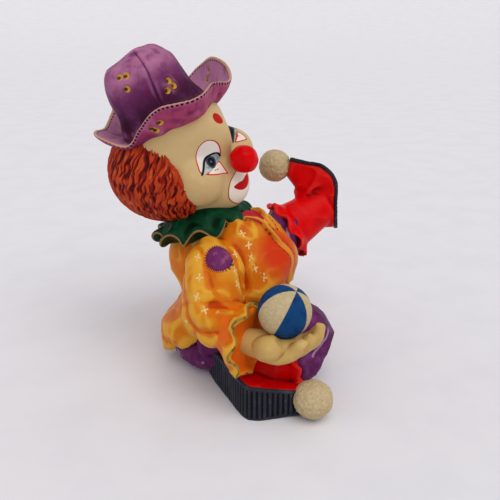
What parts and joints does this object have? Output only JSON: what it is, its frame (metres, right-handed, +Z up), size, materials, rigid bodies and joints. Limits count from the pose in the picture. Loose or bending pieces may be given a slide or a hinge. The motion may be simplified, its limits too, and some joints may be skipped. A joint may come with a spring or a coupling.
{
  "type": "clown figurine",
  "caption": "Cast, hand-painted seated clown in a slouch hat, one boot raised beside the face, holding a panelled ball in an open hand.",
  "frame": {"origin": "on the surface that the clown sits on, under the flat underside of the seat", "axes": "+Z up, -Y the way the clown's body faces, +X the clown's left"},
  "size_m": [0.1212, 0.1199, 0.147],
  "materials": {
    "painted_resin": "hand-painted cast resin, satin",
    "ball_paint": "hand-painted cast resin, matt and slightly sandy"
  },
  "bodies": {
    "root": {"clown_figurine": "painted_resin", "ball": "ball_paint"}
  },
  "joints": []
}
